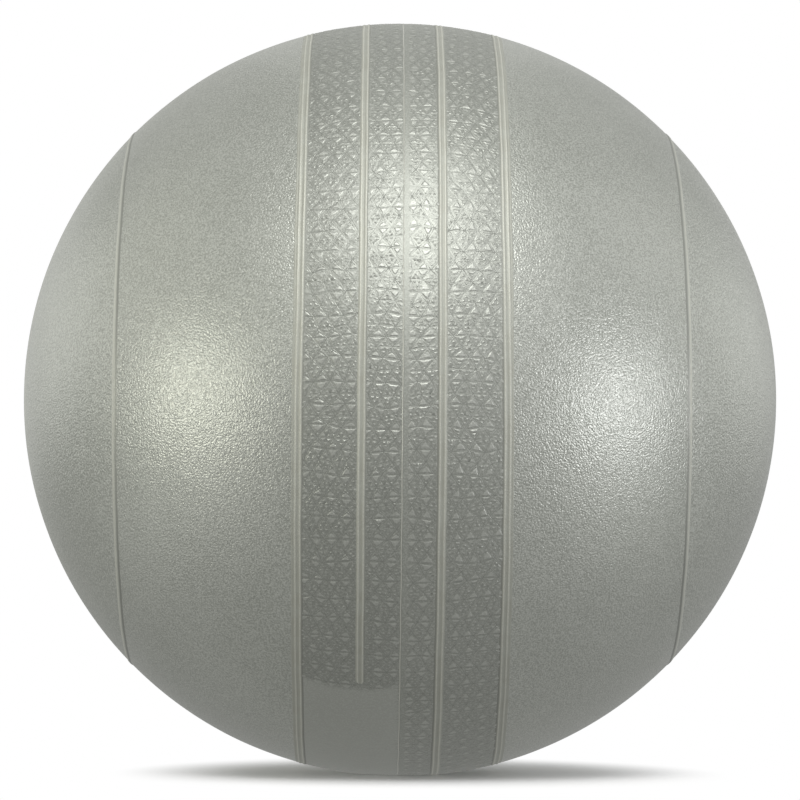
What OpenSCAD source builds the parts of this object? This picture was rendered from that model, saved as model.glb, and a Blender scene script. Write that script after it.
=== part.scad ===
// Exercise ball: a blown-up, rotationally moulded ball of soft PVC with raised rings and a bare
// label panel. A valve seat is welded into one pole of its mould axis and closed by a push-in plug.
//
// The mould axis lies along X and the parting seam in the YZ plane. The ball faces -Y and stands
// on the floor, z = 0, on the small flat that its own weight presses on it. Sizes in millimetres.

/* [Ball] */
// Outer diameter of the blown-up ball, without its rings
ball_d = 650; // [450:5:850]
// Thickness of the moulded wall
wall = 1.0; // [0.8:0.1:2]
// Diameter of the flat that the ball stands on
foot_d = 80; // [60:5:140]

/* [Raised rings] */
// Width at the foot of the inner rings and of those that edge the grip band
ring_w = 8; // [6.5:0.1:10]
// Width at the foot of the outer rings
outer_ring_w = 5.6; // [4.5:0.1:8]
// Height of each ring over the skin
ring_h = 0.55; // [0.4:0.05:1.2]
// Width of the slope at each side of a ring
ring_slope = 1.6; // [0.8:0.1:2]
// How far the crest of a broad ring is hollowed between its two edges
ring_hollow = 0.25; // [0.05:0.05:0.35]
// Radius of the ends of the ring that stops at the label panel, seen from over them
ring_end_r = 5.5; // [5.2:0.1:8]
// Angle at the ball's centre from the seam to the inner rings
inner_ring_angle = 5.5; // [4.5:0.1:8]
// Angle at the ball's centre from the seam to the rings that edge the grip band
band_ring_angle = 14.35; // [12:0.05:20]
// Angle at the ball's centre from the seam to the outer rings
outer_ring_angle = 45.1; // [35:0.05:60]
// Width of the ledge beside the left ring of the grip band
ledge_w = 1.3; // [0.8:0.1:2.5]
// Height of that ledge over the skin
ledge_h = 0.2; // [0.1:0.05:0.35]

/* [Seam] */
// Width of the fine ridge that the parting line of the mould leaves
seam_w = 1.0; // [0.6:0.1:2]
// Height of that ridge over the skin
seam_h = 0.4; // [0.2:0.05:0.8]

/* [Label panel] */
// Angle below the front of the ball at which the bare panel starts
panel_start = 47.5; // [35:0.1:70]
// Angle that the bare panel takes up along the inner ring it interrupts
panel_arc = 60; // [40:1:90]

/* [Valve seat] */
// Diameter of the seat's face in the skin
seat_face_d = 26; // [24:0.5:34]
// Width of the lip that is buried in the wall around the face
seat_lip_w = 5; // [3:0.5:8]
// Thickness of that lip
seat_lip_t = 1.6; // [1.2:0.1:2]
// Thickness of the floor that the plug's head lies on
seat_floor_t = 1.2; // [0.8:0.1:2]
// Diameter of the air passage
bore_d = 9.4; // [8:0.1:11]
// Wall of the neck around the air passage
neck_wall = 2.8; // [2:0.1:4]
// Distance from the skin at the pole to the inner end of the neck
neck_l = 25; // [24:0.5:35]
// Width of the thickened wall around the buried lip
boss_w = 4; // [2:0.5:8]
// Thickness of the wall under the buried lip
boss_floor_t = 1.2; // [0.8:0.1:2]

/* [Plug] */
// Diameter of the plug's head
head_d = 19; // [16:0.5:21]
// Thickness of the head
head_t = 1.6; // [1.2:0.1:2.2]
// How far the head lies below the skin
head_sink = 0.4; // [0.2:0.1:1]
// Gap around the head in its recess
head_gap = 0.25; // [0.1:0.05:0.5]
// Length of the shank under the head
shank_l = 20; // [16:0.5:21]
// Diameter of the shank at its tip
tip_d = 6.6; // [6:0.1:7]
// Gap between the shank's sealing ribs and the air passage
plug_gap = 0.1; // [0.05:0.01:0.3]
// How far the sealing ribs stand out from the shank
rib_h = 0.45; // [0.2:0.05:0.5]
// Number of sealing ribs
rib_count = 3; // [1:1:4]
// Distance between sealing ribs
rib_pitch = 3.6; // [3:0.1:4]
// Diameter of the hollow in the shank
core_d = 3.6; // [2:0.1:4]
// Depth of that hollow
core_l = 14; // [8:0.5:15]

/* [Hidden] */
$fn = 180;

ball_r = ball_d / 2;
// Height of the ball's centre over its flat
centre_z = sqrt(pow(ball_r, 2) - pow(foot_d / 2, 2));
// Rings and ridges are rooted half-way into the wall
root_depth = wall / 2;

recess_depth = head_sink + head_t;
lip_bottom = recess_depth + seat_floor_t;
lip_top = lip_bottom - seat_lip_t;
lip_r = seat_face_d / 2 + seat_lip_w;
neck_r = bore_d / 2 + neck_wall;
boss_r = lip_r + boss_w;
boss_bottom = lip_bottom + boss_floor_t;
rib_r = bore_d / 2 - plug_gap;
shank_r = rib_r - rib_h;
// Widths of the bevels on the moulded edges
neck_bevel = 2;
boss_bevel = 1.2;
head_bevel = 0.4;
mouth_bevel = 0.5;
// How far a cutting shape runs past what it cuts
past = 1;

// ---- Places ----

// Turns a shape around the Z axis into one around the ball's mould axis, with its start at the top
module around_mould_axis()
    translate([0, 0, centre_z])
        rotate([0, -90, 180])
            children();

// Moves to the valve: origin on the skin at the pole, +Z out of the ball
module at_valve()
    translate([ball_r, 0, centre_z])
        rotate([0, 90, 0])
            children();

// Keeps what lies over the given height, as the floor presses the ball flat
module pressed_flat(height)
    intersection() {
        children();
        translate([-ball_d, -ball_d, height])
            cube([2 * ball_d, 2 * ball_d, 2 * ball_d]);
    }

// ---- Skin ----

// Outline of one side of a ring, from its crest down to its root, as distance from the ring's
// middle and height over the skin. A ledge lies beside the ring's foot.
function ring_side(width, ledge = 0) = [
    [width / 2 - ring_slope, ring_h],
    if (ledge > 0) each [
        [width / 2 - ring_slope * ledge_h / ring_h, ledge_h],
        [width / 2 + ledge, ledge_h],
    ]
    else [width / 2, 0],
    [width / 2 + ledge, -root_depth],
];

// The left side of a ring without a ledge, from its root up to its crest
function left_side(width) = [for (i = [2:-1:0]) [-ring_side(width)[i].x, ring_side(width)[i].y]];

module ring_section(width = ring_w, hollow = ring_hollow, ledge = 0)
    polygon([
        each left_side(width),
        if (hollow > 0) [0, ring_h - hollow],
        each ring_side(width, ledge),
    ]);

// Sets a flat section on the skin's outline, at an angle from the seam
module on_outline(angle)
    rotate(angle)
        translate([ball_r, 0])
            rotate(-90)
                children();

module raised_ring(angle)
    rotate_extrude()
        on_outline(angle)
            children();

// Round column that gives a ring's end its form, at a turn from the top of the ball
module end_column(angle, turn)
    rotate([0, 0, turn])
        rotate([0, 90 - angle, 0])
            translate([0, 0, ball_r - wall])
                cylinder(r = ring_end_r, h = wall + ring_h + past);

// The stretch of a ring that the label panel takes, which leaves the ring's ends rounded
module panel_cut(angle) {
    panel_from = 90 + panel_start;
    difference() {
        rotate_extrude(angle = panel_arc, start = panel_from)
            on_outline(angle)
                translate([-ring_w, -2 * wall])
                    square([2 * ring_w, 4 * wall + ring_h]);
        for (turn = [panel_from, panel_from + panel_arc])
            end_column(angle, turn);
    }
}

// A ring that leaves out the label panel
module interrupted_ring(angle)
    difference() {
        raised_ring(angle) ring_section();
        panel_cut(angle);
    }

module seam_ridge()
    rotate_extrude()
        translate([ball_r - root_depth, -seam_w / 2])
            square([root_depth + seam_h, seam_w]);

// The skin's outer form, solid inside
module moulded_form()
    around_mould_axis() {
        sphere(r = ball_r);
        seam_ridge();
        interrupted_ring(-inner_ring_angle);
        raised_ring(inner_ring_angle) ring_section();
        raised_ring(-band_ring_angle) ring_section(ledge = ledge_w);
        raised_ring(band_ring_angle) ring_section();
        for (angle = [-outer_ring_angle, outer_ring_angle])
            raised_ring(angle) ring_section(outer_ring_w, hollow = 0);
    }

// Thickened wall that grips the seat's lip
module valve_boss()
    at_valve()
        rotate_extrude()
            polygon([
                [0, 0],
                [boss_r, 0],
                [boss_r, boss_bevel - boss_bottom],
                [boss_r - boss_bevel, -boss_bottom],
                [0, -boss_bottom],
            ]);

module air_space()
    difference() {
        pressed_flat(wall)
            around_mould_axis()
                sphere(r = ball_r - wall);
        valve_boss();
    }

module ball_skin()
    color([0.62, 0.64, 0.59])
        difference() {
            pressed_flat(0) moulded_form();
            air_space();
            seat_outline();
        }

// ---- Valve seat ----

module seat_outline()
    at_valve()
        rotate_extrude()
            polygon([
                [0, past],
                [seat_face_d / 2, past],
                [seat_face_d / 2, -lip_top],
                [lip_r, -lip_top],
                [lip_r, -lip_bottom],
                [neck_r + neck_bevel, -lip_bottom],
                [neck_r, -lip_bottom - neck_bevel],
                [neck_r, -neck_l],
                [0, -neck_l],
            ]);

// Recess for the plug's head, and the air passage with a bevelled mouth
module seat_opening()
    at_valve() {
        translate([0, 0, -recess_depth])
            cylinder(r = head_d / 2 + head_gap, h = recess_depth + past);
        translate([0, 0, -recess_depth - mouth_bevel])
            cylinder(r1 = bore_d / 2, r2 = bore_d / 2 + mouth_bevel, h = mouth_bevel);
        translate([0, 0, -neck_l - past])
            cylinder(r = bore_d / 2, h = neck_l + past);
    }

module valve_seat()
    color([0.66, 0.67, 0.63])
        difference() {
            intersection() {
                seat_outline();
                around_mould_axis() sphere(r = ball_r);
            }
            seat_opening();
        }

// ---- Plug ----

module plug_head()
    rotate_extrude()
        polygon([
            [0, 0],
            [head_d / 2 - head_bevel, 0],
            [head_d / 2, head_bevel],
            [head_d / 2, head_t - head_bevel],
            [head_d / 2 - head_bevel, head_t],
            [0, head_t],
        ]);

module sealing_rib()
    rotate_extrude()
        polygon([
            [0, -rib_h],
            [rib_r - rib_h, -rib_h],
            [rib_r, 0],
            [rib_r - rib_h, rib_h],
            [0, rib_h],
        ]);

module plug()
    color([0.92, 0.92, 0.90])
        at_valve()
            translate([0, 0, -recess_depth])
                difference() {
                    union() {
                        plug_head();
                        translate([0, 0, -shank_l])
                            cylinder(r1 = tip_d / 2, r2 = shank_r, h = shank_l);
                        for (i = [1:rib_count])
                            translate([0, 0, -i * rib_pitch]) sealing_rib();
                    }
                    translate([0, 0, -shank_l - past])
                        cylinder(d = core_d, h = core_l + past);
                }

ball_skin();
valve_seat();
plug();
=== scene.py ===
"""Dressed model of an exercise ball, made around its packed construction model.

A place on the ball is a latitude, measured from the parting seam towards the +X pole, a turn around
the mould axis, measured from the top by way of the front, and a height over the skin.
"""
import math

import bpy
import numpy as np
from mathutils import Matrix, Vector
from mathutils.geometry import delaunay_2d_cdt


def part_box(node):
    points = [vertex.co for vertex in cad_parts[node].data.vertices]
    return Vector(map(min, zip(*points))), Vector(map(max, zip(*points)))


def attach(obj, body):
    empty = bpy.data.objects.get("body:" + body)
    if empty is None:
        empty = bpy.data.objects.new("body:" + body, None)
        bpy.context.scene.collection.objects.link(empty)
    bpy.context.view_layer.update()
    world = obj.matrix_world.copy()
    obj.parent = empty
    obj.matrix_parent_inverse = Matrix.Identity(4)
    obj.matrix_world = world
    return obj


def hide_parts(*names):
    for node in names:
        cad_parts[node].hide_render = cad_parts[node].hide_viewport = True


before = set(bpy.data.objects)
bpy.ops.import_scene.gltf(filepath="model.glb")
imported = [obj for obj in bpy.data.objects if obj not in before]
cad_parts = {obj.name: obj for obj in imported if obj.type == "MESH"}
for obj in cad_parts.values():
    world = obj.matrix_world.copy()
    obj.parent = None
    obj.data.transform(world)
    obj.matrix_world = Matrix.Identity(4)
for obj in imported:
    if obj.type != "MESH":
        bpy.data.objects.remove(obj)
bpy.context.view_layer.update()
scene = bpy.context.scene


# ---- Grip band ------------------------------------------------------------------------------
# The middle of the moulded PVC skin, between its two band rings, in two halves that meet at the
# parting seam. The mould gives it a relief of small wedges on a lattice of crossing grooves. A
# label panel on its left half is bare.

MM = 0.001
plug_low, plug_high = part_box("plug")
BALL_R = -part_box("ball_skin")[0][0]
CENTRE_Z = (plug_low[2] + plug_high[2]) / 2
AROUND = 2 * np.pi * BALL_R
WALL = 1.0 * MM
SKIN_FLAT = 0.25 * MM  # the skin between the rings stays this far off the floor

INNER_LEFT, INNER_RIGHT = math.radians(-5.60), math.radians(5.41)
BAND_LEFT, BAND_RIGHT = math.radians(-14.38), math.radians(14.40)
RING_W = 7.2 * MM
SEAM_STRIP = 0.4 * MM  # bare strip beside the seam, on its left
PLAIN_STRIP = 3.6 * MM  # and the broader one on its right

PANEL_FROM, PANEL_TO = math.radians(137.5), math.radians(197.5)
PANEL_ARCH = 0.035  # how much lower the panel starts in its middle than at its sides, in radians
PANEL_RIM = 0.012  # over which the relief runs out into the panel, in radians

ROWS = 228  # of lattice nodes around the ball
COLUMNS = np.arange(-9, 9)
PITCH = 12.0 * MM
NODE_SHIFT = 0.75 * MM
FADE_FROM, FADE_TO = 0.2 * MM, 1.0 * MM  # how far from a ring's foot the relief fades in
CELL_H = 0.43 * MM  # height of the relief, from a groove to the top of a pad
SINK = 0.55  # share of it by which the relief is moulded below the plain skin
STEEP = 0.30  # rise over a face, as a share of it, past which the face stays crisp
NET_UNEVEN = 0.2  # how far the grooves rise at random, as a share of it
PAD_STRENGTH = (0.65, 1.1)  # and how high the pads of a cell are
PAD_UNEVEN = 0.03 * MM
MERGE = 0.01 * MM
BELT_STEPS = 480  # points around each plain belt at the edges and the back of the grip band

rng = np.random.default_rng(65)
WAVES = np.array([  # directions of the waves that make the skin uneven, in turns per metre
    [7.0, 3.0, 5.0], [-4.0, 8.0, 6.0], [9.0, -6.0, 3.0], [-8.0, -5.0, 8.0],
    [12.0, 9.0, -7.0], [-11.0, 12.0, 9.0], [6.0, -13.0, 12.0], [14.0, 4.0, 13.0],
])
WAVE_START = rng.uniform(0, 2 * np.pi, len(WAVES))
WAVE_SIZE = np.array([1.0, 1.0, 0.8, 0.8, 0.45, 0.45, 0.4, 0.4])
UNEVEN = 0.30 * MM
LEAN_AT = np.radians([-90, -45, -14.4, -5.6, 0, 5.4, 14.4, 45, 90])
LEAN_BY = np.radians([0, 0, 0.33, 0.18, 0.12, 0.03, -0.36, -0.5, 0])


def direction(latitude, turn):
    """Unit vector from the ball's centre: X is the sine of the latitude, and the turn leads from the
    top (+Z) by way of the front (-Y)."""
    return np.stack([
        np.sin(latitude) + 0 * turn,
        -np.cos(latitude) * np.sin(turn),
        np.cos(latitude) * np.cos(turn),
    ], axis=-1)


def unevenness(way):
    """Slight hollows of the blown-up skin: a weighted sum of sine waves over the direction, scaled
    so that it only goes inwards."""
    waves = np.sin(2 * np.pi * BALL_R * way @ WAVES.T + WAVE_START) @ WAVE_SIZE
    return UNEVEN * (waves / WAVE_SIZE.sum() - 1) / 2


def on_ball(latitude, turn, height, lowest=SKIN_FLAT):
    """The point at the ball's radius plus a height along the direction, no lower than the flat. The
    moulded circles lean a little: their latitude shifts with the cosine of the turn."""
    latitude = latitude + np.interp(latitude, LEAN_AT, LEAN_BY) * np.cos(turn)
    way = direction(latitude, turn)
    points = way * (BALL_R + height + unevenness(way))[..., None]
    points[..., 2] = np.maximum(points[..., 2] + CENTRE_Z, lowest)
    return points


def soft_step(value, low, high):
    """0 below low and 1 above high, with an S-shaped rise between."""
    t = np.clip((value - low) / (high - low), 0, 1)
    return t * t * (3 - 2 * t)


node_noise = rng.normal(0, NODE_SHIFT, (ROWS, 64, 2))  # one shift a node, and columns to spare


def lattice_node(row, column):
    """Place of a lattice node, across and around: rows step around the ball, every other row is
    shifted by half a pitch, two sine waves bend the lines by up to 3.0 mm across and two by up to
    1.7 mm around, and a little noise moves each node."""
    turn = 2 * np.pi * row / ROWS
    across = (column + 0.5 * (row % 2)) * PITCH
    bend = 1.7 * MM * np.sin(across / (19 * MM) + 3 * turn + 1.3 * np.sin(14 * turn))
    bend += 1.3 * MM * np.sin(23 * turn - across / (31 * MM))
    climb = 1.0 * MM * np.sin(across / (15 * MM) + 9 * turn) + 0.7 * MM * np.sin(31 * turn + 1.0)
    place = np.stack([across + bend, turn * BALL_R + climb], -1)
    return place + node_noise[row % ROWS, column % node_noise.shape[1]]


def drawn_in(outline, step):
    """An outline moved inwards by a step: each side shifts along its own normal, and a corner lies
    where its two shifted sides cross."""
    ahead = np.roll(outline, -1, 0) - outline
    ahead /= np.linalg.norm(ahead, axis=1)[:, None]
    back = np.roll(ahead, 1, 0)
    half = 1 + np.sum(ahead * back, axis=1)
    inward = np.stack([-ahead[:, 1] - back[:, 1], ahead[:, 0] + back[:, 0]], -1)
    return outline + step * inward / half[:, None]


CELL_BASE, CELL_TIP = 12, 9  # a cell's base and height, as the cells are drawn below
GROOVE_W = 0.5  # half a groove's width, in the same units
PAD_JITTER = 0.12  # how far the corners of the pads shift, in the same units
GROUND = 0.40  # height of the ground between the grooves, as a share of the relief's
SIDE_GROOVE = 0.1  # and of the middles of the grooves along a cell's two slanted sides
FOOT_SHADE = 0.22  # shade value at a pad's foot, below the ground's: painted shade there
NET = slice(0, 6)  # points of a cell that lie on its grooves, and are shared with its neighbours
PADS = slice(9, None)  # and those that belong to its pads
VARIANTS = 7  # cells of each kind


def cell(groove, pads):
    """One triangular cell of the pattern: its corners and the middles of its sides, the ground
    between its grooves, then for each pad a foot at ground level and a top drawn in from it by a
    step, which falls away from the base. The corners of the pads shift a little at random. Gives
    points (place along the base, place towards the tip, height, shade) and triangles. The shade is
    the height, but deeper at a foot; it sets a painted highlight on the pads and painted shade in
    the grooves and at the feet."""
    corners = np.array([[0, 0], [CELL_BASE, 0], [CELL_BASE / 2, CELL_TIP]], dtype=float)
    middles = (corners + np.roll(corners, -1, 0)) / 2
    points = [[x, y, 0.0, 0.0] for x, y in corners]
    points += [[x, y, z, z] for (x, y), z in zip(middles, (groove, SIDE_GROOVE, SIDE_GROOVE))]
    points += [[x, y, GROUND, GROUND] for x, y in drawn_in(corners, GROOVE_W)]
    edges = [(0, 3), (3, 1), (1, 4), (4, 2), (2, 5), (5, 0), (6, 7), (7, 8), (8, 6)]
    for outline, step, height, fall in pads:
        outline = outline + rng.uniform(-PAD_JITTER, PAD_JITTER, (len(outline), 2))
        count = len(outline)
        foot = len(points)
        points += [[x, y, GROUND, FOOT_SHADE] for x, y in outline]
        edges += [(foot + k, foot + (k + 1) % count) for k in range(count)]
        if step == 0:
            points.append([*outline.mean(0), height, height])
            continue
        reach = np.ptp(outline[:, 1])
        top = len(points)
        points += [[x, y, height - fall * (y - outline[:, 1].min()) / reach, height]
                   for x, y in drawn_in(outline, step)]
        edges += [(top + k, top + (k + 1) % count) for k in range(count)]
    flat = [Vector(point[:2]) for point in points]
    placed, _, faces, *_ = delaunay_2d_cdt(flat, edges, [], 0, 1e-6)
    assert len(placed) == len(points), "two outlines of a cell cross"
    return np.array(points) / [CELL_BASE, CELL_TIP, 1, 1], np.array(faces)


def variants(groove, pads):
    """Some cells of one kind, whose pads differ a little."""
    return [cell(groove, pads) for _ in range(VARIANTS)]


# Kinds of cells: each pad is its outline, the step to its top, its height and its fall
LOW_HAT = variants(0.05, [
    ([(2.6, 0.8), (9.4, 0.8), (8.6, 2.7), (6.1, 4.9), (3.5, 2.9)], 0.85, 1.10, 0.15),
    ([(3.7, 4.0), (5.3, 5.1), (4.7, 5.8)], 0, 1.0, 0),
    ([(8.2, 4.0), (7.3, 5.7), (6.7, 5.1)], 0, 1.0, 0),
    ([(5.2, 6.2), (6.8, 6.1), (6.0, 7.7)], 0, 0.95, 0),
])
TALL_HAT = variants(0.05, [
    ([(2.4, 0.8), (9.6, 0.8), (8.3, 3.9), (6.4, 6.4), (4.1, 3.9)], 0.90, 1.10, 0.15),
    ([(5.4, 6.75), (6.7, 6.75), (6.0, 7.8)], 0, 0.9, 0),
])
DEEP_HEAD = variants(0.05, [
    ([(2.0, 0.75), (9.9, 0.75), (8.1, 3.7), (5.9, 5.6), (3.9, 3.5)], 0.90, 1.15, 0.20),
    ([(5.1, 6.1), (6.9, 6.2), (6.0, 7.7)], 0, 1.0, 0),
])
FLAT_HEAD = variants(0.05, [
    ([(2.9, 0.75), (9.1, 0.75), (7.6, 3.1), (4.6, 3.3)], 0.85, 1.10, 0.10),
    ([(4.3, 4.0), (7.6, 3.9), (6.1, 6.0)], 0, 1.0, 0),
    ([(5.4, 6.6), (6.6, 6.6), (6.0, 7.7)], 0, 0.85, 0),
])
CRUMBS = variants(0.38, [
    ([(1.9, 0.8), (5.4, 0.7), (5.2, 2.3), (4.0, 3.1)], 0, 1.15, 0),
    ([(6.7, 0.7), (10.1, 0.9), (8.1, 3.2)], 0, 1.10, 0),
    ([(4.5, 3.8), (7.4, 3.6), (7.0, 5.0), (5.9, 5.9)], 0, 1.05, 0),
])


def joined(parts):
    """Several sets of points and faces as one: the numbers in the faces move up by the number of
    points before them."""
    starts = np.cumsum([0, *(len(points) for points, _ in parts[:-1])])
    faces = [part_faces + start for (_, part_faces), start in zip(parts, starts)]
    return np.concatenate([points for points, _ in parts]), np.concatenate(faces)


def stamp(cells, base_row, tip_row, columns, flip):
    """Copies cells, picked at random from those of one kind, into the lattice: each point is a
    weighted mean of the cell's three nodes, by its place along the base and towards the tip. Each
    copy's pads have a strength of their own. Gives points (across, around, height, shade) and faces,
    turned over if flip is false."""
    rows, cols = np.meshgrid(base_row, columns, indexing="ij")
    tips = np.broadcast_to(tip_row[:, None], rows.shape)
    left = lattice_node(rows, cols)
    right = lattice_node(rows, cols + 1)
    tip = lattice_node(tips, cols + (rows % 2))
    tip[..., 1] -= AROUND * np.round((tip[..., 1] - left[..., 1]) / AROUND)
    corners = np.stack([left, right, tip], -2).reshape(-1, 3, 2)
    pick = rng.integers(len(cells), size=len(corners))
    parts = []
    for number, (template, triangles) in enumerate(cells):
        here = corners[pick == number]
        toward = template[:, 1]
        along = template[:, 0] - toward / 2
        weights = np.stack([1 - toward - along, along, toward], -1)
        flat = np.einsum("pk,ckx->cpx", weights, here)
        strength = rng.uniform(*PAD_STRENGTH, (len(here), 1))
        height = CELL_H * template[:, 2] * np.where(template[:, 2] > GROUND, strength, 1)
        height[:, PADS] += rng.normal(0, PAD_UNEVEN, height[:, PADS].shape)
        height[:, NET] += CELL_H * rng.uniform(0, NET_UNEVEN, height[:, NET].shape)
        shade = np.broadcast_to(template[:, 3], height.shape)
        points = np.concatenate([flat, height[..., None], shade[..., None]], -1).reshape(-1, 4)
        starts = len(template) * np.arange(len(here))
        parts.append((points, (triangles + starts[:, None, None]).reshape(-1, 3)))
    points, faces = joined(parts)
    return points, faces if flip else faces[:, ::-1]


def panel_edge(across):
    """Turn at which the label panel starts: an arch that is a little lower in its middle."""
    middle = BALL_R * BAND_LEFT / 2
    return PANEL_FROM + PANEL_ARCH * (1 - ((across - middle) / middle) ** 4)


def panel_share(across, turn):
    """1 inside the label panel and 0 outside it, with a narrow rise between."""
    edge = panel_edge(across)
    inside = soft_step(turn, edge, edge + PANEL_RIM) * soft_step(PANEL_TO - turn, 0, PANEL_RIM)
    return np.where(across < 0, inside, 0)


def relief_share(across):
    """How much of the relief stands at a distance from the seam: none beside the rings and seam."""
    share = np.ones_like(across)
    for latitude in (BAND_LEFT, INNER_LEFT, INNER_RIGHT, BAND_RIGHT):
        away = np.abs(across - latitude * BALL_R)
        share *= soft_step(away, RING_W / 2 + FADE_FROM, RING_W / 2 + FADE_TO)
    bare = np.where(across > 0, PLAIN_STRIP, SEAM_STRIP)
    return share * soft_step(np.abs(across), bare, bare + FADE_TO)


def new_piece(name, points, faces, smooth=True):
    """A mesh object at the origin from arrays of points and faces; smooth may be given per face, and
    every edge of a flat face is sharp."""
    mesh = bpy.data.meshes.new(name)
    mesh.from_pydata(points.tolist(), [], faces.tolist() if isinstance(faces, np.ndarray) else faces)
    smooth = np.broadcast_to(smooth, len(mesh.polygons)).copy()
    mesh.polygons.foreach_set("use_smooth", smooth)
    corners = np.empty(len(mesh.polygons), dtype=np.int32)
    mesh.polygons.foreach_get("loop_total", corners)
    edges = np.empty(len(mesh.loops), dtype=np.int32)
    mesh.loops.foreach_get("edge_index", edges)
    sharp = np.zeros(len(mesh.edges), dtype=bool)
    sharp[edges[~np.repeat(smooth, corners)]] = True
    mesh.edges.foreach_set("use_edge_sharp", sharp)
    piece = bpy.data.objects.new(name, mesh)
    scene.collection.objects.link(piece)
    return piece


def add_value(piece, name, values):
    """Stores one number per point of the mesh, for its material."""
    piece.data.attributes.new(name, "FLOAT", "POINT").data.foreach_set("value", values)


def zipped(points, first, second):
    """Triangles between two closed rows of points that need not match: in the order of their places
    around the ball, each point closes a triangle with the latest point of the other row."""
    a = np.mod(points[first, 1], AROUND)
    b = np.mod(points[second, 1], AROUND)
    reached = np.searchsorted(b, a, "right") - 1
    one = np.stack([np.roll(first, 1), first, second[reached]], -1)
    reached = np.searchsorted(a, b, "left") - 1
    two = np.stack([second, np.roll(second, 1), first[reached]], -1)
    return np.concatenate([one, two])


def trimmed(points, faces, edge, keep):
    """The part of a mesh beyond a line across = edge, on its positive or negative side: a triangle
    that the line crosses is cut where the line meets its sides."""
    beyond = keep * (points[:, 0] - edge)
    inside = beyond > 0
    count = inside[faces].sum(1)
    crossed = faces[(count == 1) | (count == 2)]
    single = count[(count == 1) | (count == 2)] == 1
    first = np.argmax(inside[crossed] == single[:, None], axis=1)
    crossed = np.take_along_axis(crossed, (first[:, None] + np.arange(3)) % 3, axis=1)
    sides = np.sort(np.concatenate([crossed[:, [0, 1]], crossed[:, [0, 2]]]), axis=1)
    sides, number = np.unique(sides, axis=0, return_inverse=True)
    one, other = points[sides[:, 0]], points[sides[:, 1]]
    way = other - one
    way[:, 1] -= AROUND * np.round(way[:, 1] / AROUND)
    share = beyond[sides[:, 0]] / (beyond[sides[:, 0]] - beyond[sides[:, 1]])
    cuts = one + way * share[:, None]
    cuts[:, 0] = edge
    number = len(points) + number.reshape(2, -1)
    lone, b, c = crossed.T
    tips = np.stack([lone, number[0], number[1]], -1)[single]
    stubs = np.stack([b, c, number[1]], -1)[~single]
    gussets = np.stack([b, number[1], number[0]], -1)[~single]
    faces = np.concatenate([faces[count == 3], tips, stubs, gussets])
    used, faces = np.unique(faces, return_inverse=True)
    return np.concatenate([points, cuts])[used], faces.reshape(-1, 3)


def cells_of_half(side):
    """All cells of the pattern with the kinds of one side of the seam, as one mesh: points that
    coincide around the closed lattice are merged."""
    even = np.arange(0, ROWS, 2)
    odd = even + 1
    hat, head, outer = LOW_HAT, DEEP_HEAD, COLUMNS < 0
    if side > 0:
        hat, head, outer = TALL_HAT, FLAT_HEAD, COLUMNS >= 2
    points, faces = joined([
        stamp(hat, even, even - 1, COLUMNS, True),
        stamp(head, even, even + 1, COLUMNS[outer], False),
        stamp(DEEP_HEAD, even, even + 1, COLUMNS[~outer], False),
        stamp(CRUMBS, odd, odd - 1, COLUMNS, True),
        stamp(CRUMBS, odd, odd + 1, COLUMNS, False),
    ])
    key = np.stack([points[:, 0], np.mod(points[:, 1] + MM, AROUND)], -1) / MERGE
    key = np.round(key).astype(np.int64)
    _, first, number = np.unique(key, axis=0, return_index=True, return_inverse=True)
    return points[first], number.reshape(-1)[faces]


def grip_half(name, near, far):
    """Half of the grip band: the cells cut off at two distances from the seam, their heights sunk
    below the plain skin and faded out where the skin is bare. Plain belts of points carry on from
    its edges: a bare strip to the seam, and the inner face of the wall, one thickness below."""
    side = 1 if far > 0 else -1
    points, faces = cells_of_half(side)
    points, faces = trimmed(points, faces, near, side)
    points, faces = trimmed(points, faces, far, -side)
    panel = panel_share(points[:, 0], np.mod(points[:, 1] / BALL_R, 2 * np.pi))
    share = relief_share(points[:, 0]) * (1 - panel)
    relief = points[:, 3] * share + GROUND * (1 - share)
    points = points[:, :3]
    points[:, 2] = (points[:, 2] - SINK * CELL_H) * share
    crisp = [np.ptp(points[:, 2][faces], axis=1) > STEEP * CELL_H]
    rims = [np.flatnonzero(np.abs(points[:, 0] - edge) < 1e-9) for edge in (near, far)]
    rims = [rim[np.argsort(np.mod(points[rim, 1], AROUND))] for rim in rims]
    strip = [(0.0, 0.0)] if near else []
    belts = strip + [(x, -WALL) for x in np.linspace(0, far, 5)]
    around = np.arange(BELT_STEPS) * AROUND / BELT_STEPS
    belt_points = [np.stack(np.broadcast_arrays(x, around, depth), -1) for x, depth in belts]
    rows = len(points) + np.arange(BELT_STEPS * len(belts)).reshape(len(belts), -1)
    points = np.concatenate([points, *belt_points])
    chain = [rims[0], *rows, rims[1]]
    closing = [zipped(points, first, second) for first, second in zip(chain, chain[1:])]
    crisp += [np.full(len(part), k >= len(strip)) for k, part in enumerate(closing)]
    closing = np.concatenate(closing)
    faces = np.concatenate([faces, closing[:, ::-1] if side > 0 else closing])
    placed = on_ball(points[:, 0] / BALL_R, points[:, 1] / BALL_R, points[:, 2])
    piece = new_piece(name, placed, faces, ~np.concatenate(crisp))
    belt = np.zeros(rows.size)
    add_value(piece, "relief", np.concatenate([relief, belt + GROUND]))
    add_value(piece, "grain", np.concatenate([0.5 + 0.5 * share, belt + 0.5]))
    add_value(piece, "panel", np.concatenate([panel, belt]))
    return piece


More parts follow.
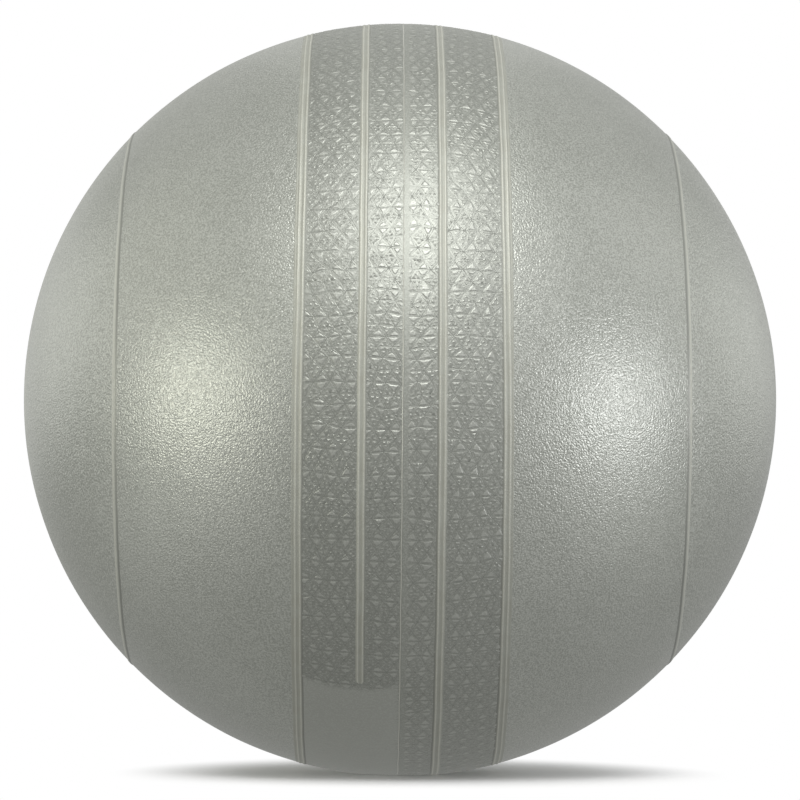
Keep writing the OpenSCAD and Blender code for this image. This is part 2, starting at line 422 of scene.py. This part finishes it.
class Value:
    """A shader value. Sums, differences and products of values and numbers add their Math nodes."""

    def __init__(self, nodes, socket):
        self.nodes = nodes
        self.socket = socket

    def maths(self, operation, first, second=0.0):
        return self.nodes.value("ShaderNodeMath", {"operation": operation}, {0: first, 1: second})

    def __add__(self, other):
        return self.maths("ADD", self, other)

    __radd__ = __add__

    def __mul__(self, other):
        return self.maths("MULTIPLY", self, other)

    __rmul__ = __mul__

    def __sub__(self, other):
        return self.maths("SUBTRACT", self, other)

    def __rsub__(self, other):
        return self.maths("SUBTRACT", other, self)

    def __abs__(self):
        return self.maths("ABSOLUTE", self)

    def over(self, level, top):
        """0 up to a level, rising to 1 at the top."""
        settings = {"interpolation_type": "SMOOTHSTEP"}
        sockets = {"Value": self, "From Min": level, "From Max": top}
        return self.nodes.value("ShaderNodeMapRange", settings, sockets)


class Nodes:
    """The shader nodes of a material or of the surround."""

    def __init__(self, owner):
        owner.use_nodes = True
        self.tree = owner.node_tree

    def feed(self, node, name, value):
        """Links a value or an output to a node's socket, or sets a number or colour there."""
        if isinstance(value, Value):
            value = value.socket
        if isinstance(value, bpy.types.NodeSocket):
            self.tree.links.new(value, node.inputs[name])
        else:
            node.inputs[name].default_value = value

    def node(self, kind, settings, sockets):
        """Adds one node: its settings first, then its sockets."""
        node = self.tree.nodes.new(kind)
        for name, value in settings.items():
            setattr(node, name, value)
        for name, value in sockets.items():
            self.feed(node, name, value)
        return node

    def value(self, kind, settings, sockets, output=0):
        """One output of a new node, as a value."""
        return Value(self, self.node(kind, settings, sockets).outputs[output])


class Finish(Nodes):
    """A material on the Principled shader, on the piece's Object coordinates."""

    def __init__(self, name, sockets):
        self.material = bpy.data.materials.new(name)
        super().__init__(self.material)
        self.shader = self.tree.nodes["Principled BSDF"]
        self.place = self.node("ShaderNodeTexCoord", {}, {}).outputs["Object"]
        for socket, value in sockets.items():
            self.put(socket, value)

    def put(self, socket, value):
        """Feeds a socket of the shader."""
        self.feed(self.shader, socket, value)

    def noise(self, scale, detail=2.0, roughness=0.5, distortion=0.0):
        sockets = {"Vector": self.place, "Scale": scale, "Detail": detail,
                   "Roughness": roughness, "Distortion": distortion}
        return self.value("ShaderNodeTexNoise", {}, sockets)

    def stored(self, name):
        """The piece's own number of that name, stored per point."""
        return self.value("ShaderNodeAttribute", {"attribute_name": name}, {}, "Fac")

    def blend(self, share, first, second):
        """The first colour where the share is 0, the second where it is 1."""
        node = self.node("ShaderNodeMix", {"data_type": "RGBA"}, {0: share, 6: first, 7: second})
        return node.outputs[2]

    def bump(self, height, distance):
        return self.node("ShaderNodeBump", {}, {"Height": height, "Distance": distance}).outputs[0]


SKIN = (0.352, 0.365, 0.325, 1)
SKIN_PALE = (0.3736, 0.38615, 0.3475, 1)
SKIN_DEEP = (0.3286, 0.34115, 0.30385, 1)
PIT = (0.200, 0.208, 0.184, 1)
TIP = (0.520, 0.532, 0.490, 1)
# darker grey of the painted shade in the grip's grooves, at the pads' and rings' feet and beside the seam
PAINTED_SHADE = (0.150, 0.155, 0.140, 1)
# paler grey of the painted highlight on the grip's pads, and of the label panel's paler tone
PAD = (0.470, 0.480, 0.440, 1)


def darker(colour, shade):
    """A colour with its three channels times a shade."""
    return (*(shade * channel for channel in colour[:3]), 1)


def pvc(name, grain_size, roughness, metallic=0.65, mottle=0.40, shade=1.0):
    """Pearl grey soft PVC: slow clouds of lighter and deeper grey, a pebble grain with darker pits
    and paler tips, and a gloss that varies a little with both. Gives the finish with its colour,
    its roughness and the height of its grain, which are still to be put on."""
    finish = Finish(name, {"Metallic": metallic, "IOR": 1.45})
    pebble = finish.noise(1 / grain_size, 0.5, 0.4, 0.2)
    fine = finish.noise(1.9 / grain_size, 0.5, 0.5)
    clouds = finish.noise(5.0, 3.0, 0.55)
    deep, pale = darker(SKIN_DEEP, shade), darker(SKIN_PALE, shade)
    tone = finish.blend(clouds.over(0.35, 0.68), deep, pale)
    grain = 0.6 * pebble + 0.4 * fine
    tone = finish.blend(mottle * (1 - grain.over(0.40, 0.50)), tone, PIT)
    tone = finish.blend(mottle * grain.over(0.50, 0.60), tone, TIP)
    gloss = roughness + 0.10 * (clouds - 0.5) + 0.12 * (pebble - 0.5)
    return finish, tone, gloss, pebble


def grip_pvc(name, shade):
    """That PVC under the relief: painted highlight makes the pads paler and painted shade makes the
    grooves and the pads' feet darker, the label panel is paler, and the grain is half as deep and
    the gloss a little duller where the skin is bare."""
    finish, tone, gloss, pebble = pvc(name, 1.5 * MM, 0.46, 0.70, 0.20, shade)
    relief = finish.stored("relief")
    grain = finish.stored("grain")
    # painted highlight on the pads, by the height of the relief
    tone = finish.blend(0.32 * relief.over(0.50, 1.0), tone, PAD)
    # painted shade in the grooves and at the pads' feet
    tone = finish.blend(0.52 * (1 - relief.over(0.0, GROUND)), tone, PAINTED_SHADE)
    tone = finish.blend(0.34 * finish.stored("panel"), tone, PAD)
    finish.put("Base Color", tone)
    finish.put("Roughness", gloss + 0.14 * (1 - grain))
    finish.put("Normal", finish.bump(pebble * grain, 0.15 * MM))
    return finish.material


grip_left = grip_half("skin_grip_left", 0, BAND_LEFT * BALL_R)
grip_right = grip_half("skin_grip_right", PLAIN_STRIP, BAND_RIGHT * BALL_R)
for piece, shade in ((grip_left, 0.79), (grip_right, 0.82)):
    piece.data.materials.append(grip_pvc(piece.name + " pvc", shade))
    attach(piece, "ball")
    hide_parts("ball_skin")


# ---- Flanks and caps --------------------------------------------------------------------------
# The rest of the moulded skin: a flank on each side between band ring and outer ring, with pebble
# grain, and a cap around each pole with finer grain. The right cap is open for the valve seat.

OUTER_LEFT, OUTER_RIGHT = math.radians(-45.13), math.radians(45.15)
SEAT_R = 13.0 * MM
FLANK_STEPS = (600, 58)  # turns around the ball and belts between the two latitudes
CAP_STEPS = (360, 72)


def grid_faces(rows, columns, closed):
    """Quads between neighbouring points of a grid, row after row. The columns always close, and the
    last row joins the first if the grid is closed."""
    i, j = np.meshgrid(np.arange(rows if closed else rows - 1), np.arange(columns), indexing="ij")
    below = (i + 1) % rows
    beside = (j + 1) % columns
    corners = [i * columns + j, i * columns + beside, below * columns + beside, below * columns + j]
    return np.stack(corners, -1).reshape(-1, 4)


def zone(name, side, from_latitude, to_latitude, steps):
    """A belt of the sphere between two latitudes: a grid of latitudes and turns, which a Solidify
    modifier gives its wall. A belt that reaches the pole ends in one point there."""
    turns, belts = steps
    at_pole = to_latitude > math.pi / 2 - 1e-6
    latitude = np.linspace(from_latitude, to_latitude, belts + 1)
    if at_pole:
        latitude = latitude[:-1]
    turn = np.arange(turns) * 2 * np.pi / turns
    grid_latitude, grid_turn = np.meshgrid(latitude, turn, indexing="ij")
    points = on_ball(side * grid_latitude, grid_turn, np.zeros_like(grid_turn)).reshape(-1, 3)
    rows = len(latitude)
    faces = grid_faces(rows, turns, False)[:, ::side].tolist()
    if at_pole:
        pole = on_ball(np.array([side * math.pi / 2]), np.array([0.0]), np.array([0.0]))
        points = np.concatenate([points, pole])
        last = (rows - 1) * turns + np.arange(turns)
        fan = np.stack([last, np.roll(last, -1), np.full(turns, rows * turns)], -1)
        faces += fan[:, ::side].tolist()
    piece = new_piece(name, points, faces)
    ends = np.empty(2 * len(piece.data.edges), dtype=np.int32)
    piece.data.edges.foreach_get("vertices", ends)
    row, other_row = ends.reshape(-1, 2).T // turns
    rims = [0] if at_pole else [0, rows - 1]
    piece.data.edges.foreach_set("use_edge_sharp", (row == other_row) & np.isin(row, rims))
    wall = piece.modifiers.new("wall", "SOLIDIFY")
    wall.thickness = WALL
    wall.offset = -1
    return piece


def plain_pvc(name, grain_size, grain_depth, roughness):
    """The skin's PVC with nothing but its grain."""
    finish, tone, gloss, pebble = pvc(name, grain_size, roughness)
    finish.put("Base Color", tone)
    finish.put("Roughness", gloss)
    finish.put("Normal", finish.bump(pebble, grain_depth))
    return finish.material


flank_pvc = plain_pvc("flank pvc", 1.4 * MM, 0.46 * MM, 0.38)
cap_pvc = plain_pvc("cap pvc", 1.6 * MM, 0.50 * MM, 0.40)
seat_latitude = math.pi / 2 - math.asin(SEAT_R / BALL_R)
halves = ((-1, "left", -BAND_LEFT, -OUTER_LEFT), (1, "right", BAND_RIGHT, OUTER_RIGHT))
for side, word, band, outer in halves:
    flank = zone("skin_flank_" + word, side, band, outer, FLANK_STEPS)
    flank.data.materials.append(flank_pvc)
    top = math.pi / 2 if side < 0 else seat_latitude
    cap = zone("skin_cap_" + word, side, outer, top, CAP_STEPS)
    cap.data.materials.append(cap_pvc)
    for piece in (flank, cap):
        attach(piece, "ball")
        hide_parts("ball_skin")


# ---- Raised rings -----------------------------------------------------------------------------
# Six rings moulded into the skin. The broad ones beside the seam and at the edges of the grip band
# have two crests with a hollow between, and the outer ones a single crest. All are smooth.

RING_H = 0.55 * MM
RING_ROOT = -0.5 * MM
RING_STEPS = 1440
RING_TIP = 5.5 * MM  # how far the ends of the interrupted ring reach into the panel
PAINTED_SHADE_FROM = 3.3 * MM  # distance from a ring's middle past which a painted shade line lies on the seam's side
BROAD = np.array([  # sections: distance from the ring's middle, height over the skin
    [-3.6, -0.05], [-3.35, 0.06], [-2.35, 0.48], [-2.05, 0.55], [-1.7, 0.51], [-0.65, 0.14],
    [-0.25, 0.08], [0.25, 0.08], [0.65, 0.14], [1.7, 0.51], [2.05, 0.55], [2.35, 0.48], [3.35, 0.06],
    [3.6, -0.05],
]) * MM
LEDGE = np.array([[-5.4, -0.05], [-5.15, 0.10], [-4.85, 0.24], [-4.4, 0.20], [-3.7, 0.10]]) * MM
FAINT_LEDGE = np.array([[3.7, 0.07], [4.4, 0.14], [4.9, 0.12], [5.3, -0.05]]) * MM
# a low skirt past a ring's foot on the seam's side, which carries the painted shade line
SHADE_SKIRT_RIGHT = np.array([[3.6, 0.02], [4.15, 0.012], [4.3, -0.10]]) * MM
SHADE_SKIRT_LEFT = SHADE_SKIRT_RIGHT[::-1] * [-1, 1]
NARROW = np.array([
    [-2.8, -0.05], [-2.4, 0.10], [-1.7, 0.38], [-1.2, 0.52], [-0.6, 0.55], [0.6, 0.55], [1.2, 0.52],
    [1.7, 0.38], [2.4, 0.10], [2.8, -0.05],
]) * MM
NARROW_LEFT = np.concatenate([NARROW[:-1], SHADE_SKIRT_RIGHT - [0.85 * MM, 0]])
NARROW_RIGHT = NARROW_LEFT[::-1] * [-1, 1]
NARROW_PAINTED_LIGHT = np.array([  # distance from the ring's middle towards the seam, 1 painted highlight to -1 painted shade
    [-2.8, 0.0], [-2.4, 0.4], [-1.7, 0.8], [-0.6, 0.9], [0.6, 0.7], [1.2, 0.1], [1.7, -0.9],
    [3.4, -1.0], [3.6, -0.5],
])


def carried(name, latitude, turn, across, height, smooth, closed=True):
    """A closed section carried around the ball: one row of points for each turn, at distances across
    from the latitude and heights over the skin. A piece that stops short gets a face at each end."""
    rows, columns = across.shape
    grid_turn = np.broadcast_to(turn[:, None], across.shape)
    points = on_ball(latitude + across / BALL_R, grid_turn, height, 0.0).reshape(-1, 3)
    faces = grid_faces(rows, columns, closed)[:, ::-1].tolist()
    smooth = np.tile(smooth, rows if closed else rows - 1)
    if not closed:
        first = np.arange(columns)
        last = first + (rows - 1) * columns
        faces += [first.tolist(), last[::-1].tolist()]
        smooth = np.append(smooth, [False, False])
    return new_piece(name, points, faces, smooth)


def open_turns(turn_from, turn_to, half_width):
    """Turns along a stretch of ring with closer steps at its ends, and how broad it is at each: at
    its ends the breadth goes down to nearly nothing along a quarter circle."""
    tip = half_width / BALL_R
    ease = 1 - np.cos(np.linspace(0, np.pi / 2, 13))
    count = int(RING_STEPS * (turn_to - turn_from) / (2 * np.pi))
    middle = np.linspace(turn_from + tip, turn_to - tip, count)[1:-1]
    turn = np.concatenate([turn_from + tip * ease, middle, (turn_to - tip * ease)[::-1]])
    reach = np.clip(np.minimum(turn - turn_from, turn_to - turn) / tip, 0, 1)
    return turn, np.sqrt(np.clip(1 - (1 - reach) ** 2, 1e-4, 1))


def ring(name, latitude, section, stretch=None, painted_light=None):
    """A section carried around the ball, or along a stretch from turn to turn, and closed under the
    skin. Slow sine waves move it sideways by up to 0.16 mm and change its height by up to 9 %. Its
    painted highlight goes by its height and a painted shade line lies past a distance on the seam's
    side, or both go by a table."""
    turn = np.arange(RING_STEPS) * 2 * np.pi / RING_STEPS
    breadth = np.ones(RING_STEPS)
    if stretch:
        turn, breadth = open_turns(*stretch, np.abs(section[:, 0]).max())
    wander = 0.10 * MM * np.sin(17 * turn + latitude * 90)
    wander += 0.06 * MM * np.sin(41 * turn + latitude * 50)
    swell = 1 + 0.05 * np.sin(29 * turn + latitude * 70) + 0.04 * np.sin(73 * turn)
    swell *= np.minimum(1, 2 * breadth)
    loop = np.concatenate([section, [[section[-1, 0], RING_ROOT], [section[0, 0], RING_ROOT]]])
    across = loop[:, 0] * breadth[:, None] + wander[:, None]
    height = loop[:, 1] * np.where(loop[:, 1] > 0, swell[:, None], 1)
    smooth = np.arange(len(loop)) < len(section) - 1
    piece = carried(name, latitude, turn, across, height, smooth, stretch is None)
    seamward = -np.sign(latitude) * loop[:, 0]
    # painted light per point: a highlight by the height, painted shade past a distance on the seam's side
    crest = np.where(seamward > PAINTED_SHADE_FROM, -1, np.clip(loop[:, 1] / RING_H, 0, 1))
    if painted_light is not None:
        crest = np.interp(seamward, painted_light[:, 0] * MM, painted_light[:, 1])
    add_value(piece, "crest", np.tile(crest, len(turn)))
    return piece


# paler colour of the painted highlight along the crests of the rings and the seam
CREST_HIGHLIGHT = (0.465, 0.47, 0.412, 1)


def smooth_pvc(name, base, roughness):
    """The same PVC from a polished part of the mould: nearly no grain, a painted highlight along its
    crests and a painted shade line at its foot, by its stored crest value."""
    finish = Finish(name, {"Metallic": 0.48, "IOR": 1.45})
    clouds = finish.noise(60.0, 3.0, 0.6)
    haze = finish.noise(700.0, 2.0, 0.6)
    crest = finish.stored("crest")
    tone = finish.blend(0.5 * clouds.over(0.35, 0.65), base, SKIN)
    # painted highlight along the crests, a little patchy
    patchy_highlight = crest.over(0.55, 1.0) * (0.65 + 0.35 * haze.over(0.4, 0.6))
    tone = finish.blend(patchy_highlight, tone, CREST_HIGHLIGHT)
    # painted shade line at the foot, on the seam's side
    tone = finish.blend(0.62 * (1 - crest.over(-0.7, 0.0)), tone, PAINTED_SHADE)
    finish.put("Base Color", tone)
    finish.put("Roughness", roughness + 0.10 * (clouds - 0.5) + 0.06 * (haze - 0.5))
    finish.put("Normal", finish.bump(haze + 0.8 * clouds, 0.22 * MM))
    return finish.material


ring_pvc = smooth_pvc("ring pvc", (0.31, 0.315, 0.272, 1), 0.56)
outer_ring_pvc = smooth_pvc("outer ring pvc", (0.33, 0.34, 0.30, 1), 0.46)
reach = RING_TIP / BALL_R
past_panel = (PANEL_TO - reach, PANEL_FROM + reach + 2 * np.pi)
inner_right = np.concatenate([SHADE_SKIRT_LEFT, BROAD[1:]])
band_left = np.concatenate([LEDGE, BROAD[1:-1], SHADE_SKIRT_RIGHT])
band_right = np.concatenate([SHADE_SKIRT_LEFT, BROAD[1:-1], FAINT_LEDGE])
rings = [
    ring("ring_inner_left", INNER_LEFT, BROAD, past_panel),
    ring("ring_inner_right", INNER_RIGHT, inner_right),
    ring("ring_band_left", BAND_LEFT, band_left),
    ring("ring_band_right", BAND_RIGHT, band_right),
    ring("ring_outer_left", OUTER_LEFT, NARROW_LEFT, painted_light=NARROW_PAINTED_LIGHT),
    ring("ring_outer_right", OUTER_RIGHT, NARROW_RIGHT, painted_light=NARROW_PAINTED_LIGHT),
]
for piece in rings:
    piece.data.materials.append(outer_ring_pvc if "outer" in piece.name else ring_pvc)
    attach(piece, "ball")
    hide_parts("ball_skin")


# ---- Seam flash -------------------------------------------------------------------------------
# The fine ridge of PVC that the mould's parting line leaves all around the skin. It is one with the
# skin, and is trimmed unevenly by hand.

SEAM_W = 1.0 * MM
SEAM_H = 0.38 * MM
SEAM_ROOT = 0.3 * MM
SEAM_STEPS = 4000
SEAM_SECTION = np.array([  # distance across in widths, height in heights or roots, painted light: 1 painted highlight to -1 painted shade
    [-0.7, -1, 0], [-0.6, 0.02, 0], [-0.2, 0.95, 0.9], [0.1, 1.0, 0.9], [0.25, 0.1, -0.6],
    [0.6, 0.02, -1], [0.7, -1, -1],
])
SEAM_SMOOTH = [False, True, True, False, False, False, False]  # which of its sides are

turn = np.arange(SEAM_STEPS) * 2 * np.pi / SEAM_STEPS
cut_noise = rng.normal(0, 1, SEAM_STEPS)
ragged = sum(np.roll(cut_noise, step) for step in range(-2, 3)) / 5
lift = SEAM_H * np.clip(0.8 + 0.25 * ragged, 0.35, 1.0)
drift = 0.12 * MM * np.sin(37 * turn) + 0.05 * MM * ragged
place, rise, painted_light = SEAM_SECTION.T
across = place * SEAM_W + drift[:, None]
height = rise * np.where(rise > 0, lift[:, None], SEAM_ROOT)
seam = carried("seam_flash", 0.0, turn, across, height, SEAM_SMOOTH)
# painted highlight along the fin's crest and painted shade on its right side
add_value(seam, "crest", np.tile(painted_light, SEAM_STEPS))
seam.data.materials.append(smooth_pvc("seam pvc", (0.41, 0.415, 0.37, 1), 0.40))
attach(seam, "ball")
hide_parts("ball_skin")


# ---- Valve seat -------------------------------------------------------------------------------
# A flanged seat of softer PVC, moulded first and welded into the right cap. Its buried lip grips the
# wall, its face carries the recess for the plug's head, and its neck holds the air passage.

SKIN_AT_POLE = on_ball(np.array(math.pi / 2), np.array(0.0), np.array(0.0))[0]
TURNS = 144  # points around the valve's axis
SEAT_SECTION = np.array([  # distance from the valve's axis, depth under the skin at the pole
    [12.97, 0.62], [12.93, 0.42], [12.80, 0.28], [12.5, 0.25], [11.4, 0.21], [11.15, 0.27], [10.9, 0.20],
    [10.35, 0.17], [10.05, 0.22], [9.86, 0.38], [9.78, 0.62], [9.75, 1.2], [9.75, 1.75], [9.68, 1.93],
    [9.5, 2.0], [7.4, 2.0], [5.5, 2.0], [5.1, 2.08], [4.85, 2.28], [4.72, 2.6], [4.7, 3.2], [4.7, 9],
    [4.7, 16], [4.7, 24.4], [4.8, 24.8], [5.1, 25.0], [7.0, 25.0], [7.4, 24.8], [7.5, 24.4], [7.5, 12],
    [7.5, 5.4], [7.7, 4.6], [8.3, 3.8], [9.2, 3.3], [10.2, 3.2], [14, 3.2], [17.6, 3.2], [17.95, 3.0],
    [18.0, 2.4], [17.9, 1.75], [17.5, 1.6], [15, 1.6], [13.4, 1.6], [13.0, 1.5], [12.98, 1.1],
]) * MM


def turned(name, section, start):
    """A section carried around the valve's axis: the axis runs along X through the ball's centre,
    and depths are taken inwards from the start. A section that starts on the axis also ends there,
    in one point at each end, and any other one is closed."""
    turn = np.arange(TURNS) * 2 * np.pi / TURNS
    radius, depth = section[:, 0], section[:, 1]
    grid = np.stack([
        np.broadcast_to(start - depth[:, None], (len(section), TURNS)),
        radius[:, None] * np.cos(turn),
        radius[:, None] * np.sin(turn) + CENTRE_Z,
    ], -1).reshape(-1, 3)
    ends_on_axis = radius[0] == 0
    quads = grid_faces(len(section), TURNS, not ends_on_axis)
    if ends_on_axis:
        quads[quads < TURNS] = 0
        last = (len(section) - 1) * TURNS
        quads[quads >= last] = last
    used, quads = np.unique(quads, return_inverse=True)
    corners = [list(dict.fromkeys(quad)) for quad in quads.reshape(-1, 4).tolist()]
    return new_piece(name, grid[used], [corner[::-1] for corner in corners])


seat_pvc = Finish("seat pvc", {"Metallic": 0.15, "IOR": 1.45})
bloom = seat_pvc.noise(350.0, 3.0, 0.6)
stain = seat_pvc.noise(90.0, 2.0, 0.5)
seat_tone = seat_pvc.blend(bloom.over(0.35, 0.65), (0.40, 0.41, 0.36, 1), (0.47, 0.48, 0.43, 1))
seat_tone = seat_pvc.blend(0.4 * stain.over(0.5, 0.7), seat_tone, (0.34, 0.345, 0.30, 1))
seat_pvc.put("Base Color", seat_tone)
seat_pvc.put("Roughness", 0.46 + 0.12 * (bloom - 0.5))
seat_pvc.put("Normal", seat_pvc.bump(bloom, 0.12 * MM))
seat = turned("valve_seat_moulding", SEAT_SECTION[::-1], SKIN_AT_POLE)
seat.data.materials.append(seat_pvc.material)
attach(seat, "ball")
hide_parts("valve_seat")


# ---- Plug -------------------------------------------------------------------------------------
# A push-in plug of white polyethylene: a flat head with a softly dished face, three sealing ribs on
# a tapering shank, and a hollow in its end. It holds by the ribs alone and is pulled out by hand.

HEAD_SECTION = np.array([  # distance from the axis, depth under the top of the head
    [0, 0.14], [0.5, 0.14], [0.62, 0.06], [0.8, 0.05], [2.5, 0.07], [5.0, 0.10], [7.2, 0.12], [7.9, 0.09],
    [8.3, 0.02], [8.7, 0.0], [9.05, 0.03], [9.3, 0.13], [9.44, 0.30], [9.5, 0.52], [9.5, 1.15],
    [9.43, 1.37], [9.28, 1.52], [9.05, 1.6], [6.6, 1.6], [4.75, 1.6], [4.35, 1.68], [4.17, 1.9],
])
HEAD_T, SHANK_L = 1.6, 20  # all the plug's sizes are in millimetres up to its mesh
SHANK_R, TIP_R, RIB_R = 4.15, 3.3, 4.6
RIB_DEPTHS = HEAD_T + 3.6 * np.arange(1, 4)
RIB = np.array([  # depth from the rib's middle, how far it stands out from the shank
    [-0.62, -0.03], [-0.45, 0.04], [-0.12, 0.38], [0, 0.45], [0.12, 0.38], [0.45, 0.04],
    [0.62, -0.03],
])
SHANK_END = np.array([
    [3.36, 20.6], [3.3, 21.2], [3.18, 21.48], [2.95, 21.6], [2.1, 21.6], [1.88, 21.5], [1.8, 21.25],
    [1.8, 15], [1.8, 8.3], [1.6, 7.8], [1.0, 7.6], [0, 7.6],
])


def shank_radius(depth):
    """Half the shank's thickness, which goes down evenly from the head to the tip."""
    return SHANK_R - (SHANK_R - TIP_R) * (depth - HEAD_T) / SHANK_L


def sealing_rib(depth):
    """The rib's section set on the shank at a depth, and stretched so that its crest has the same
    radius on each rib."""
    along, out = RIB.T
    stretch = (RIB_R - shank_radius(depth)) / out.max()
    return np.stack([shank_radius(depth + along) + out * stretch, depth + along], -1)


plug_pe = Finish("plug polyethylene", {
    "IOR": 1.50, "Subsurface Weight": 0.15, "Subsurface Radius": (1.0, 1.0, 0.9),
    "Subsurface Scale": 1.5 * MM})
satin = plug_pe.noise(1600.0, 2.0, 0.5)
flow = plug_pe.noise(120.0, 2.0, 0.5, 0.8)
plug_tone = plug_pe.blend(flow.over(0.4, 0.65), (0.80, 0.80, 0.77, 1), (0.74, 0.74, 0.71, 1))
plug_pe.put("Base Color", plug_tone)
plug_pe.put("Roughness", 0.38 + 0.10 * (flow - 0.5) + 0.06 * (satin - 0.5))
plug_pe.put("Normal", plug_pe.bump(satin, 0.05 * MM))
ribs = [sealing_rib(depth) for depth in RIB_DEPTHS]
plug_section = np.concatenate([HEAD_SECTION, *ribs, SHANK_END]) * MM
plug = turned("plug_moulding", plug_section, plug_high[0])
plug.data.materials.append(plug_pe.material)
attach(plug, "stopper")
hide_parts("plug")


# ---- Stage ------------------------------------------------------------------------------------
# A white floor that keeps the ball's own soft shadow, a white surround, and soft boxes at the front,
# the sides and the back. None of it is part of the ball.

CAMERA_AT = Vector((-0.021, -2.8077, 0.1262))
ROLL = math.radians(0.29)
camera_data = bpy.data.cameras.new("camera")
camera_data.lens = 145.7
camera = bpy.data.objects.new("camera", camera_data)
scene.collection.objects.link(camera)
aim = (Vector((0, 0, CENTRE_Z)) - CAMERA_AT).to_track_quat("-Z", "Y").to_matrix().to_4x4()
camera.matrix_world = Matrix.Translation(CAMERA_AT) @ aim @ Matrix.Rotation(ROLL, 4, "Z")
scene.camera = camera
scene.view_settings.view_transform = "Standard"

FLOOR_HALF = 9
FLOOR_GLOW = 0.48  # light that the floor sends up to the ball
SIDE_GLOW = 0.5  # and a painted pool of light that it gives off beside the ball, where the side lamps would light it
SHADOW_X = 0.020  # where the floor still shows the ball's shadow: an ellipse around here
SHADOW_REACH = (0.27, 0.36)
BLACK, WHITE = (0, 0, 0, 1), (1, 1, 1, 1)

floor_mesh = bpy.data.meshes.new("floor")
floor_corners = [(x * FLOOR_HALF, y * FLOOR_HALF, 0) for x, y in ((-1, -1), (1, -1), (1, 1), (-1, 1))]
floor_mesh.from_pydata(floor_corners, [], [(0, 1, 2, 3)])
floor = bpy.data.objects.new("floor", floor_mesh)
scene.collection.objects.link(floor)
floor_white = Finish("floor white", {
    "Base Color": (0.95, 0.95, 0.95, 1), "Roughness": 0.9, "Specular IOR Level": 0.0})
seen = floor_white.value("ShaderNodeLightPath", {}, {}, "Is Camera Ray")
place = floor_white.node("ShaderNodeSeparateXYZ", {}, {0: floor_white.place})
x, y = (Value(floor_white, output) for output in place.outputs[:2])
off_x = (x - SHADOW_X) * (1 / SHADOW_REACH[0])
off_y = y * (1 / SHADOW_REACH[1])
clear = (off_x * off_x + off_y * off_y).over(0.25, 1.0)
# a painted pool of light on the floor beside the ball, which only the ball's rays see
beside_x = (abs(x) - 0.75) * 2.2
beside_y = (y + 0.40) * 2.2
beside = 1 - (beside_x * beside_x + beside_y * beside_y).over(0.0, 1.0)
bright = seen + (1 - seen) * (FLOOR_GLOW + SIDE_GLOW * beside)
glow = floor_white.node("ShaderNodeEmission", {}, {"Color": floor_white.blend(bright, BLACK, WHITE)})
mix = floor_white.node("ShaderNodeMixShader", {}, {
    0: seen * (1 - clear), 1: glow.outputs[0], 2: floor_white.shader.outputs[0]})
floor_white.feed(floor_white.tree.nodes["Material Output"], "Surface", mix.outputs[0])
floor.data.materials.append(floor_white.material)

SKY = 0.62  # how strongly the white surround lights the ball
world = bpy.data.worlds.new("surround")
scene.world = world
surround = Nodes(world)
seen = surround.value("ShaderNodeLightPath", {}, {}, "Is Camera Ray")
background = surround.tree.nodes["Background"]
surround.feed(background, "Color", WHITE)
surround.feed(background, "Strength", SKY + (1 - SKY) * seen)

LAMP_AWAY = 2.6
WARM, COOL = (1.0, 0.99, 0.90), (0.95, 0.94, 1.0)


def soft_box(name, turn, rise, size, power, tint=(1, 1, 1)):
    """A square area lamp that faces the ball's centre from a fixed distance: turn goes to the right
    from the ball's front, and rise goes up from the centre's level, both in degrees."""
    data = bpy.data.lights.new(name, "AREA")
    data.shape = "SQUARE"
    data.size = size
    data.energy = power
    data.color = tint
    lamp = bpy.data.objects.new(name, data)
    turn, rise = math.radians(turn), math.radians(rise)
    flat = LAMP_AWAY * math.cos(rise)
    up = LAMP_AWAY * math.sin(rise)
    lamp.location = (flat * math.sin(turn), -flat * math.cos(turn), CENTRE_Z + up)
    lamp.rotation_euler = (math.pi / 2 - rise, 0, turn)
    scene.collection.objects.link(lamp)


soft_box("main_light", 8, 55, 0.9, 15)
soft_box("front_light", 2, 37, 0.9, 27)
soft_box("top_light", 0, 78, 1.2, 3.2)
soft_box("left_light", -60, -2, 0.8, 18, WARM)
soft_box("right_light", 62, -6, 0.8, 28, COOL)
soft_box("left_rim", -118, 10, 1.2, 4.7)
soft_box("right_rim", 118, 10, 1.2, 4.5)
soft_box("left_fill", -35, 35, 1.4, 1.8, WARM)
soft_box("right_fill", 40, 35, 1.4, 4.2, COOL)
soft_box("left_side", -90, 30, 1.4, 3.5, WARM)
soft_box("right_side", 90, 30, 1.4, 2.6)
soft_box("back_light", 180, 50, 1.4, 2.4)
soft_box("left_back", -150, 10, 1.2, 1.2)
